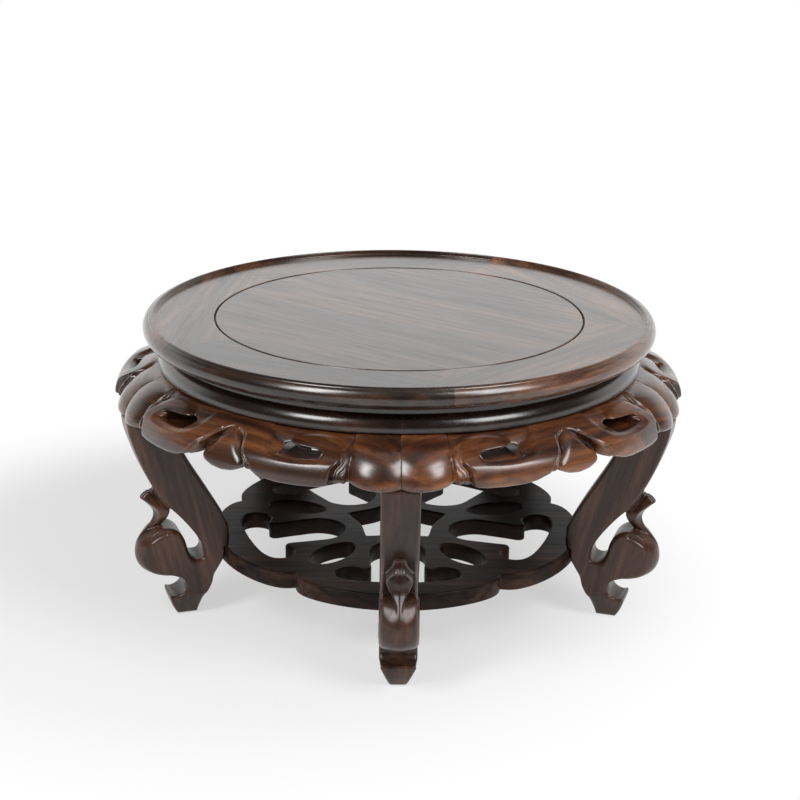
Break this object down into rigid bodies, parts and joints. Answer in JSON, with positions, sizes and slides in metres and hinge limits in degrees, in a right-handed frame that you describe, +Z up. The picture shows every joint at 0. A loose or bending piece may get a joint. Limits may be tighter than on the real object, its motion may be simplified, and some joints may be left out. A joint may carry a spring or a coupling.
{
  "type": "hardwood display stand",
  "caption": "Low round hardwood display stand with a framed top, a moulded waist, carved pierced aprons, S-curved scroll legs and a fretwork tray between the legs.",
  "frame": {"origin": "on the stand's axis at the floor", "axes": "+Z up along the stand's axis, -Y towards the front leg"},
  "size_m": [0.2644, 0.2614, 0.1377],
  "materials": {
    "frame_wood": "satin lacquer over dark hardwood",
    "panel_wood": "satin lacquer over dark hardwood",
    "waist_wood": "satin lacquer over dark hardwood",
    "apron_wood": "satin lacquer over dark hardwood",
    "leg_wood": "satin lacquer over dark hardwood",
    "tray_wood": "satin lacquer over dark hardwood"
  },
  "bodies": {
    "root": {"centre_panel": "panel_wood", "panel_batten_1": "panel_wood", "panel_batten_2": "panel_wood", "frame_splines": "frame_wood", "top_frame_1": "frame_wood", "top_frame_2": "frame_wood", "top_frame_3": "frame_wood", "top_frame_4": "frame_wood", "top_frame_5": "frame_wood", "waist_1": "waist_wood", "waist_2": "waist_wood", "waist_3": "waist_wood", "waist_4": "waist_wood", "waist_5": "waist_wood", "apron_1": "apron_wood", "apron_2": "apron_wood", "apron_3": "apron_wood", "apron_4": "apron_wood", "apron_5": "apron_wood", "leg_1": "leg_wood", "leg_2": "leg_wood", "leg_3": "leg_wood", "leg_4": "leg_wood", "leg_5": "leg_wood", "tray": "tray_wood"}
  },
  "joints": []
}
